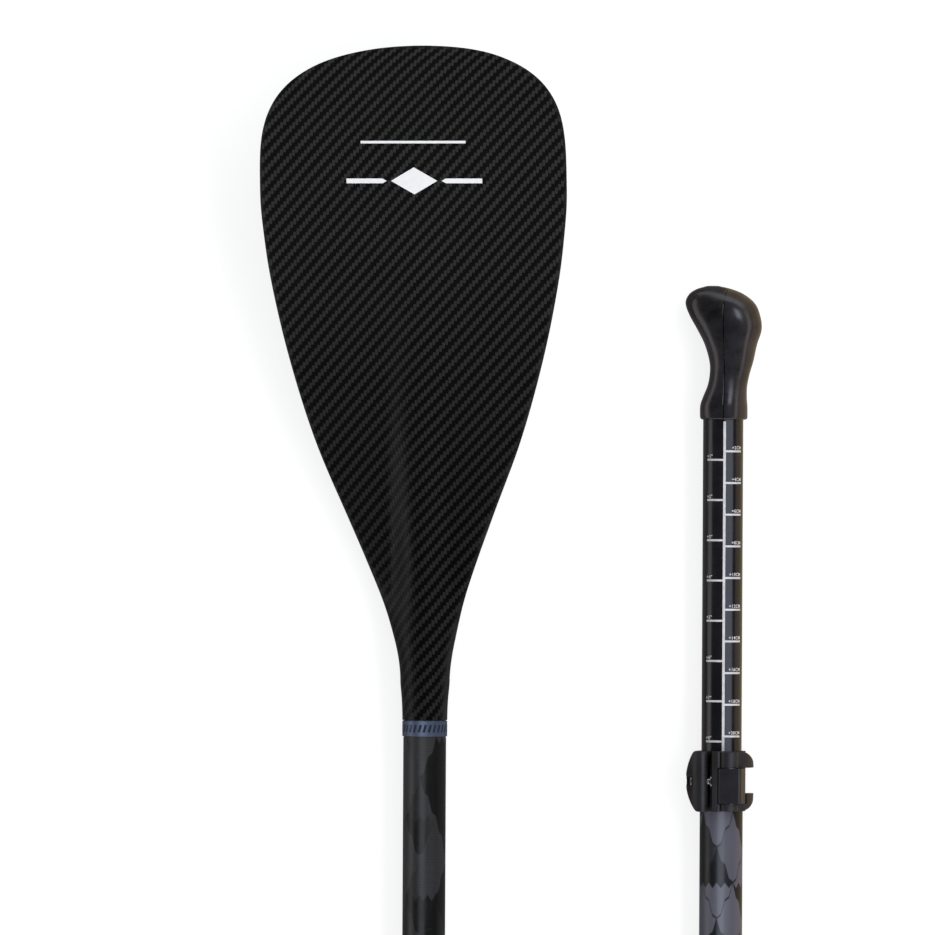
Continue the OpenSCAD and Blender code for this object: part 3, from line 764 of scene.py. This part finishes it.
# %% [markdown]
# ## Turned pieces
# Tubes, rings and collars are profiles turned round an axis. Blender's Spin or Screw would do it, but writing
# the rings out also gives the UV map in real metres, u round the piece and v along it, which the wound rings
# and the printed pattern need.

# %% Lathe
def turned(name, axis, profile, body, look, node, sides=128):
    """A closed profile of (radius, y) pairs in mm, turned about an axis along Y. y counts from the band."""
    points = [Vector((axis.x + r * MM * math.sin(a), band_y + y * MM, axis.z + r * MM * math.cos(a)))
              for r, y in profile for a in round_turn(sides)]
    radius = max(r for r, y in profile) * MM
    faces, corners = [], []
    n = len(profile)
    for i in range(n):
        after = (i + 1) % n
        v0, v1 = profile[i][1] * MM, profile[after][1] * MM
        if v0 == v1:
            v1 = v0 + (profile[after][0] - profile[i][0]) * MM
        faces += band_faces(i, after, sides)
        for k in range(sides):
            u0, u1 = (2 * math.pi * radius * t / sides for t in (k, k + 1))
            corners.append([(u0, v0), (u1, v0), (u1, v1), (u0, v1)])
    piece = outwards(new_piece(name, points, faces, corners))
    return finish_piece(piece, body, look, [node])


def pipe(y0, y1, r, bore, chamfer=0.3):
    """Profile of a tube with both outer ends eased."""
    return [(bore, y0), (r - chamfer, y0), (r, y0 + chamfer), (r, y1 - chamfer), (r - chamfer, y1), (bore, y1)]


# %% [markdown]
# Holes are cut into a turned piece afterwards, with a Boolean and a round cutter. The result is taken from
# the evaluated object as a plain mesh, so that no modifier is left on the piece.

# %% Cutting holes
def plain(obj):
    """Applies every modifier and keeps the result as the object's mesh."""
    graph = bpy.context.evaluated_depsgraph_get()
    made = bpy.data.meshes.new_from_object(obj.evaluated_get(graph))
    obj.modifiers.clear()
    obj.data = made
    return obj


def cut(obj, shape):
    modifier = obj.modifiers.new("cut", "BOOLEAN")
    modifier.operation, modifier.solver, modifier.object = "DIFFERENCE", "EXACT", shape
    bpy.context.view_layer.update()
    plain(obj)
    bpy.data.objects.remove(shape)
    obj.data.shade_smooth()
    obj.data.set_sharp_from_angle(angle=math.radians(35))
    return obj


def cutter(shape, place):
    """An object from a bmesh, with every point moved by the rule place."""
    mesh = bpy.data.meshes.new("cutter")
    shape.to_mesh(mesh)
    shape.free()
    for vertex in mesh.vertices:
        vertex.co = place(vertex.co)
    return placed("cutter", mesh)


def round_cutter(centre, radius, z0, z1):
    shape = bmesh.new()
    bmesh.ops.create_cone(shape, cap_ends=True, segments=40, radius1=radius * MM, radius2=radius * MM,
                          depth=(z1 - z0) * MM)
    middle_z = centre.z + (z0 + z1) / 2 * MM
    return cutter(shape, lambda p: p + Vector((centre.x, centre.y, middle_z)))


def box_cutter(low, high):
    shape = bmesh.new()
    bmesh.ops.create_cube(shape, size=1)
    return cutter(shape, lambda p: Vector([low[k] + (high[k] - low[k]) * (p[k] + 0.5) for k in range(3)]))


# %% Tubes of the blade section
SHAFT_R, BORE_R, GUIDE_R, MOUTH_R, FERRULE_R, SLEEVE_BORE = 13.6, 12.8, 12.75, 13.0, 12.95, 11.2
SHOULDER, FERRULE_TIP, BUTTON_Y = -391, -451, -424.5
turned("lower_tube", blade_axis,
       [(MOUTH_R, SHOULDER), (SHAFT_R - 0.3, SHOULDER), (SHAFT_R, SHOULDER + 0.3), (SHAFT_R, -0.6),
        (SHAFT_R - 0.2, -0.3), (13.4, 0), (13.4, 57.8), (13.2, 58), (BORE_R, 58), (BORE_R, SHOULDER + 60.5),
        (MOUTH_R, SHOULDER + 60.5)],
       "blade_section", wound_carbon, "lower_shaft")
sleeve = turned("ferrule_tube", blade_axis, pipe(FERRULE_TIP, SHOULDER + 60, FERRULE_R, SLEEVE_BORE, 0.5),
                "blade_section", ferrule_carbon, "ferrule")
cut(sleeve, round_cutter(on_blade(0, BUTTON_Y, 0), 4.1, 2, 20))
turned("band", blade_axis,
       [(13.45, 0.2), (13.95, 0.2), (14.25, 0.5), (14.25, 9.9), (13.95, 10.2), (13.45, 10.2)],
       "blade_section", band_metal, "neck_band")
ring = turned("keyed_ring", blade_axis, pipe(FERRULE_TIP, FERRULE_TIP + 6, 16, 13.05, 0.7), "joint_ring",
              grey_nylon, "joint_ring")


cut(ring, box_cutter(on_blade(-4.6, FERRULE_TIP - 1, 8), on_blade(4.6, FERRULE_TIP + 7, 20)))

# %% Snap button
DOME_R, BUTTON_SIDES = 7, 48
top, base = BORE_R + 2.4, SLEEVE_BORE - 1.6
dome = [(DOME_R * math.sin(a), top - DOME_R + DOME_R * math.cos(a))
        for a in (math.radians(t) for t in range(0, 35, 5))]
dome = [p for p in dome if p[0] < 3.9]
profile = dome + [(3.96, top - 1.28), (4, top - 1.5), (4, base), (5, base), (5, base - 1.5), (0, base - 1.5)]
points = [on_blade(r * math.cos(a), BUTTON_Y + r * math.sin(a), z)
          for r, z in profile for a in round_turn(BUTTON_SIDES)]
faces = [f for i in range(len(profile) - 1) for f in band_faces(i, i + 1, BUTTON_SIDES)]
button = outwards(new_piece("snap_button_dome", points, faces))
finish_piece(button, "snap_button", steel, ["snap_button"])

# %% Tubes of the upper section
MOUTH, CLAMP_TOP, CLAMP_MID, GRIP_Y = -773.2, -7.1, -26.1, 202.2
EXT_R, EXT_TOP, EXT_END = 12.7, 210.0, -348.0


def on_upper(x, y, z):
    return Vector((upper_axis.x + x * MM, band_y + y * MM, upper_axis.z + z * MM))


middle_tube = turned("middle_tube", upper_axis,
                     [(MOUTH_R, MOUTH), (SHAFT_R - 0.3, MOUTH), (SHAFT_R, MOUTH + 0.3),
                      (SHAFT_R, CLAMP_TOP - 3), (GUIDE_R, CLAMP_TOP - 3), (GUIDE_R, MOUTH + 87),
                      (13.2, MOUTH + 87), (13.2, MOUTH + 84), (MOUTH_R, MOUTH + 84)],
                     "upper_section", faceted_print, "mid_shaft")
cut(middle_tube, round_cutter(on_upper(0, MOUTH + 27, 0), 4.3, 5, 20))
cut(middle_tube, box_cutter(on_upper(-3.9, CLAMP_TOP - 36, 5), on_upper(-1.9, CLAMP_TOP + 2, 17)))
mouth = turned("mouth_ring", upper_axis,
               [(r, MOUTH + y) for r, y in ((13.65, 0), (15, 0), (15.7, 0.3), (16, 1), (16, 25.4), (15.8, 26.6),
                                            (14.5, 33.6), (14.2, 34), (13.65, 34))],
               "upper_section", black_nylon, "mouth_collar")
cut(mouth, round_cutter(on_upper(0, MOUTH + 27, 0), 4.3, 5, 20))
turned("sliding_tube", upper_axis, pipe(EXT_END, EXT_TOP, EXT_R, 11.6, 0.3), "extension", gloss_tube,
       "extension_tube")

# %% [markdown]
# ## Printed marks
# A scale is one mark repeated at a fixed step, which is what Geometry Nodes are for. The tree lays thin blocks
# in a row on a flat sheet, x across and y along, and then wraps the sheet round a tube: x becomes an angle and
# the block's thickness becomes radius. The same tree prints the scale and the dashes on the band.

# %% Tree for marks round a tube
g = Group("marks_round_a_tube", {
    "Count": 8, "First": (0, 0, 0), "Step": (0, 0.0254, 0), "Size": (0.01, 0.0013, 0.00004), "Slant": 0.0,
    "Radius": 0.0127, "Axis": (0, 0, 0), "Ink": "Material"}, ["Geometry"], "Geometry", "Geometry")
given = g.given
row = g.put("GeometryNodeMeshLine", {"Count": given["Count"], "Start Location": given["First"],
                                     "Offset": given["Step"]}, mode="OFFSET")
block = g.put("GeometryNodeMeshCube", {"Size": given["Size"], "Vertices X": 9})
laid = g.put("GeometryNodeInstanceOnPoints", {"Points": row.outputs["Mesh"], "Instance": block.outputs["Mesh"],
                                              "Rotation": g.join(0.0, 0.0, given["Slant"])})
real = g.put("GeometryNodeRealizeInstances", {"Geometry": laid.outputs[0]})
x, y, z = g.split(g.put("GeometryNodeInputPosition").outputs[0])
angle, far = g.math("DIVIDE", x, given["Radius"]), g.plus(z, given["Radius"])
wrapped = g.join(g.times(g.math("SINE", angle), far), y, g.times(g.math("COSINE", angle), far))
moved = g.put("ShaderNodeVectorMath", {0: wrapped, 1: given["Axis"]}, operation="ADD")
bent = g.put("GeometryNodeSetPosition", {"Geometry": real.outputs[0], "Position": moved.outputs[0]})
inked = g.put("GeometryNodeSetMaterial", {"Geometry": bent.outputs[0], "Material": given["Ink"]})
marks_round = g.finish(Geometry=inked.outputs[0])


def print_marks(name, body, ink, **values):
    obj = placed(name, bpy.data.meshes.new(name))
    modifier = obj.modifiers.new("marks", "NODES")
    modifier.node_group = marks_round
    sockets = {i.name: i.identifier for i in marks_round.interface.items_tree if i.in_out == "INPUT"}
    for label, value in {**values, "Ink": ink}.items():
        modifier[sockets[label]] = value
    plain(obj)
    return finish_piece(obj, body, ink)


# %% [markdown]
# The scale has inches on the left of its line and centimetres on the right, both counted down from the grip.
# The marks run on down the tube to the last length that the clamp can let out. The blocks are 0.04 mm thick,
# as thick as a good coat of ink.

# %% The scale
INK = 0.04 * MM
LINE_ANGLE = math.radians(15.9)
line_x = LINE_ANGLE * EXT_R * MM
top_y = band_y + GRIP_Y * MM
tick_left, tick_right, tick_tall, line_wide = 11.4 * MM, 12.0 * MM, 1.25 * MM, 1.6 * MM
scale_len = 366 * MM
tube = {"Radius": EXT_R * MM + INK / 2, "Axis": tuple(upper_axis)}
print_marks("scale_line", "extension", scale_ink, Count=1, First=(line_x, top_y - scale_len / 2 - 1.2 * MM, 0),
            Step=(0, 1, 0), Size=(line_wide, scale_len, INK), **tube)
print_marks("inch_marks", "extension", scale_ink, Count=14, Step=(0, -25.4 * MM, 0),
            First=(line_x - line_wide / 2 - tick_left / 2, top_y - 25.4 * MM, 0),
            Size=(tick_left, tick_tall, INK), **tube)
print_marks("centimetre_marks", "extension", scale_ink, Count=18, Step=(0, -20 * MM, 0),
            First=(line_x + line_wide / 2 + tick_right / 2, top_y - 20 * MM, 0),
            Size=(tick_right, tick_tall, INK), **tube)

# %% [markdown]
# The figures are text, made into a mesh, laid flat at their place, and wrapped round the tube by the same
# rule as the blocks. Fonts give long thin faces, which bend well enough over a few millimetres.

# %% The figures
def figure(words, x, y, tall, to_right):
    """Points and faces of one label, flat, with its outer end at x and its foot at y."""
    text = bpy.data.curves.new("figure", "FONT")
    text.body, text.size, text.extrude, text.resolution_u = words, tall / 0.72, INK / 2, 3
    text.space_character, text.offset = 1.08, 0.05 * MM
    holder = placed("figure", text)
    bpy.context.view_layer.update()
    mesh = bpy.data.meshes.new_from_object(holder.evaluated_get(bpy.context.evaluated_depsgraph_get()))
    xs = [p.co.x for p in mesh.vertices]
    start = x - min(xs) if to_right else x - max(xs)
    flat = [Vector((p.co.x + start, p.co.y + y, p.co.z)) for p in mesh.vertices]
    faces = [tuple(f.vertices) for f in mesh.polygons]
    bpy.data.objects.remove(holder)
    bpy.data.meshes.remove(mesh)
    return flat, faces


points, faces = [], []
left_end = line_x - line_wide / 2 - tick_left
right_end = line_x + line_wide / 2 + tick_right
labels = [(f'+{n}"', left_end, -25.4 * n, True) for n in range(1, 15)]
labels += [(f"+{n}CM", right_end - 0.3 * MM, -20 * n / 2, False) for n in range(2, 37, 2)]
for words, x, below, to_right in labels:
    flat, shape = figure(words, x, top_y + below * MM + 1.25 * MM, 2.1 * MM, to_right)
    faces += [tuple(len(points) + k for k in f) for f in shape]
    for p in flat:
        a, r = p.x / (EXT_R * MM), EXT_R * MM + INK / 2 + p.z
        points.append(Vector((upper_axis.x + r * math.sin(a), p.y, upper_axis.z + r * math.cos(a))))
numbers = outwards(new_piece("scale_figures", points, faces))
finish_piece(numbers, "extension", scale_ink, sharp=60)

# %% [markdown]
# The band carries a plain row of slanted dashes in dark ink. The marks tree lays them
# round the band: the row's step is a whole share of the way round, so the row closes.

# %% Dashes on the band
BAND_R = 14.25 * MM
dashes, way_round = 28, 2 * math.pi * BAND_R
ring_of = {"Radius": BAND_R + INK / 2, "Axis": tuple(blade_axis)}
print_marks("band_dashes", "blade_section", navy_ink, Count=dashes, First=(0, band_y + 5.2 * MM, 0),
            Step=(way_round / dashes, 0, 0), Size=(1.5 * MM, 5.0 * MM, INK), Slant=math.radians(-16), **ring_of)

# %% [markdown]
# ## Mark on the blade
# A plain white ornament stands where such blades carry their maker's sign: a long lozenge between two bars,
# and a thin bar over it. Each shape is a small grid laid on the skin by the blade's own rule, 0.05 mm proud.

# %% Ornament
def on_skin(x, y, proud):
    return on_blade(x, y, lift(y) + depth(y, (x - mid(y)) / half_width(y), BACK_SPINE) + proud)


PROUD = 0.05


def patch(corners, cols, rows):
    """A thin closed slab over four corners on the blade, given in mm from the shaft's axis and the band."""
    (x0, y0), (x1, y1), (x2, y2), (x3, y3) = corners
    grid = []
    for i in range(rows + 1):
        t = i / rows
        for j in range(cols + 1):
            s = j / cols
            grid.append(((1 - t) * ((1 - s) * x0 + s * x1) + t * ((1 - s) * x3 + s * x2),
                         (1 - t) * ((1 - s) * y0 + s * y1) + t * ((1 - s) * y3 + s * y2)))
    points = [on_skin(x, y, side * PROUD) for side in (1, -1) for x, y in grid]
    return points, slab(rows + 1, cols + 1)


MARK_X, MARK_Y = 2.0, 352.0
shapes = [
    ([(-15, 0), (0, -8.5), (15, 0), (0, 8.5)], 14, 14),
    ([(-44, -1.5), (-20.5, -1.5), (-17.8, 0), (-44, 0)], 14, 2),
    ([(-44, 0), (-17.8, 0), (-20.5, 1.5), (-44, 1.5)], 14, 2),
    ([(17.8, 0), (20.5, -1.5), (44, -1.5), (44, 0)], 14, 2),
    ([(20.5, 1.5), (17.8, 0), (44, 0), (44, 1.5)], 14, 2),
    ([(-34, 23.6), (34, 23.6), (34, 25.2), (-34, 25.2)], 40, 2),
]
ornament = outwards(new_piece("blade_ornament", *join_up(
    patch([(x + MARK_X, y + MARK_Y) for x, y in corners], cols, rows) for corners, cols, rows in shapes)))
finish_piece(ornament, "blade_section", white_ink, sharp=60)

# %% [markdown]
# ## Clamp
# The clamp's pieces are right in CAD, but their edges are knife sharp, and a moulded edge always catches a
# thin line of light. Each is copied, its loose triangles are joined, and a Bevel rounds every sharp edge.

# %% Softened copies of CAD pieces
def softened(node, name, body, look, width, segments=3):
    copy = frame["nodes"][node].data.copy()
    obj = placed(name, copy)
    shell = bmesh.new()
    shell.from_mesh(copy)
    bmesh.ops.remove_doubles(shell, verts=shell.verts, dist=2e-6)
    bmesh.ops.dissolve_degenerate(shell, dist=1e-6, edges=shell.edges)
    flat = [e for e in shell.edges if len(e.link_faces) == 2 and e.calc_face_angle(9) < math.radians(0.4)]
    bmesh.ops.dissolve_edges(shell, edges=flat, use_verts=True)
    shell.to_mesh(copy)
    shell.free()
    bevel = obj.modifiers.new("edges", "BEVEL")
    bevel.width, bevel.segments, bevel.limit_method = width * MM, segments, "ANGLE"
    bevel.angle_limit, bevel.harden_normals = math.radians(32), False
    plain(obj)
    return finish_piece(obj, body, look, [node], sharp=40)


body = softened("clamp_collar", "clamp_body", "upper_section", black_nylon, 0.55)
softened("pivot_block", "clamp_block", "upper_section", grey_nylon, 0.6)
softened("cam_lever", "clamp_lever", "lever", black_nylon, 0.6)
softened("clamp_screw", "clamp_screw_head", "tension_screw", steel, 0.25, 2)

# %% [markdown]
# The hollow round the screw's head gets painted shade. An attribute marks the points of the lobe that lie in it
# or within 1 mm of its rim, and the plastic's material paints them near black.

# %% Painted shade in the screw's hollow
SCREW_Z, RECESS_R, RIM, FLOOR_X = 20.5, 6.2, 1.0, -12.4
screw_line = on_upper(0, CLAMP_MID, SCREW_Z)
# Painted shade: 1 for the points that the material paints near black.
shade_in_recess = body.data.attributes.new("recess", "FLOAT", "POINT")
for vertex, value in zip(body.data.vertices, shade_in_recess.data):
    off = math.hypot(vertex.co.y - screw_line.y, vertex.co.z - screw_line.z) / MM
    value.value = 1.0 if off < RECESS_R + RIM and vertex.co.x < upper_axis.x + FLOOR_X * MM else 0.0
print(sum(value.value for value in shade_in_recess.data), "points of the clamp are dark")

# %% [markdown]
# ## Palm grip
# The grip is moulded round its spigot and leans to the left for the palm. Its rings follow stations up its
# height, each a soft square that is a little fuller than an ellipse, joined by a smooth path. The same rule
# as in CAD is used on a finer grid, with a small eased lip where the grip ends on the tube.

# %% Grip
GRIP_LINE = [
    (0, -14.5, 15.2, 14.9), (8.6, -14.5, 15.1, 14.7), (14.6, -12.6, 14.7, 13.7), (21.6, -9.8, 15, 12.4),
    (29.2, -8.5, 16.6, 11.8), (37, -8.8, 18.9, 12.2), (47.6, -11.9, 21.2, 14.2), (57.2, -16.8, 24.1, 15.7),
    (66, -21.8, 23.1, 15.9), (73.5, -24.4, 19.8, 14.2), (79, -22.4, 13.2, 11), (82.4, -17.6, 5.4, 7),
    (84.5, -10.6, -3.8, 2.2)]
GRIP_SIDES, GRIP_STEPS = 96, 10


def station(u):
    n = len(GRIP_LINE) - 1
    i = min(int(u), n - 1)
    t = u - i
    p0, p1, p2, p3 = (GRIP_LINE[min(max(k, 0), n)] for k in (i - 1, i, i + 1, i + 2))
    return [0.5 * (2 * b + (c - a) * t + (2 * a - 5 * b + 4 * c - d) * t ** 2
                   + (3 * b - a - 3 * c + d) * t ** 3)
            for a, b, c, d in zip(p0, p1, p2, p3)]


def squarish(c, n=2.25):
    return math.copysign(abs(c) ** (2 / n), c)


def grip_ring(height, left, right, deep, shrink=0.0):
    x, w = (left + right) / 2, (right - left) / 2
    return [on_upper(x + (w - shrink) * squarish(math.cos(a)), GRIP_Y + height,
                     (deep - shrink) * squarish(math.sin(a))) for a in round_turn(GRIP_SIDES)]


LIP, LIP_RINGS = 1.7, 7
rings_up = []
for eased in range(LIP_RINGS):
    a = math.pi / 2 * eased / LIP_RINGS
    h, left, right, deep = station(LIP / GRIP_LINE[1][0] * (1 - math.cos(a)))
    rings_up.append(grip_ring(LIP * (1 - math.cos(a)), left, right, deep, LIP * (1 - math.sin(a))))
for k in range(3, (len(GRIP_LINE) - 1) * GRIP_STEPS + 1):
    rings_up.append(grip_ring(*station(k / GRIP_STEPS)))


inside = [[on_upper(r * math.cos(a), GRIP_Y + y, r * math.sin(a)) for a in round_turn(GRIP_SIDES)]
          for r, y in ((7.05, 45.2), (7.05, 8), (12.75, 8), (12.75, 0.4), (13.1, 0))]
loops = inside + rings_up
points = [p for ring in loops for p in ring]
faces = [f for i in range(len(loops) - 1) for f in band_faces(i, i + 1, GRIP_SIDES)]
faces.append(tuple(range(GRIP_SIDES)))
points.append(sum(loops[-1], Vector()) / GRIP_SIDES)
last = (len(loops) - 1) * GRIP_SIDES
faces += [(last + k, last + (k + 1) % GRIP_SIDES, len(points) - 1) for k in range(GRIP_SIDES)]
grip = outwards(new_piece("palm_grip", points, faces))
finish_piece(grip, "extension", grip_plastic, ["handle_grip"], sharp=55)

# %% [markdown]
# ## Which lamp lights what
# A linked lamp gets a collection of the pieces it may light. The wide box lights what is left of the upper
# section: a piece belongs to the section that it lies with.

# %% Light linking
def lights_only(lamp, chosen):
    group = bpy.data.collections.new(lamp.name + "_lights")
    for obj in bpy.data.objects:
        if obj.type == "MESH" and chosen(obj):
            group.objects.link(obj)
    lamp.light_linking.receiver_collection = group


def lies_left(obj):
    between = (blade_axis.x + upper_axis.x) / 2 + 20 * MM
    return max(vertex.co.x for vertex in obj.data.vertices) < between


SHAFT, GRIP = ("middle_tube", "mouth_ring"), ("palm_grip",)
for lamp, names in ((blade_strip, ("lower_tube", "band")), (shaft_box, SHAFT), (neck_box, GRIP),
                    (warm_box, GRIP)):
    lights_only(lamp, lambda obj: obj.name in names)
lights_only(upper_box, lambda obj: not lies_left(obj) and obj.name not in SHAFT + GRIP)
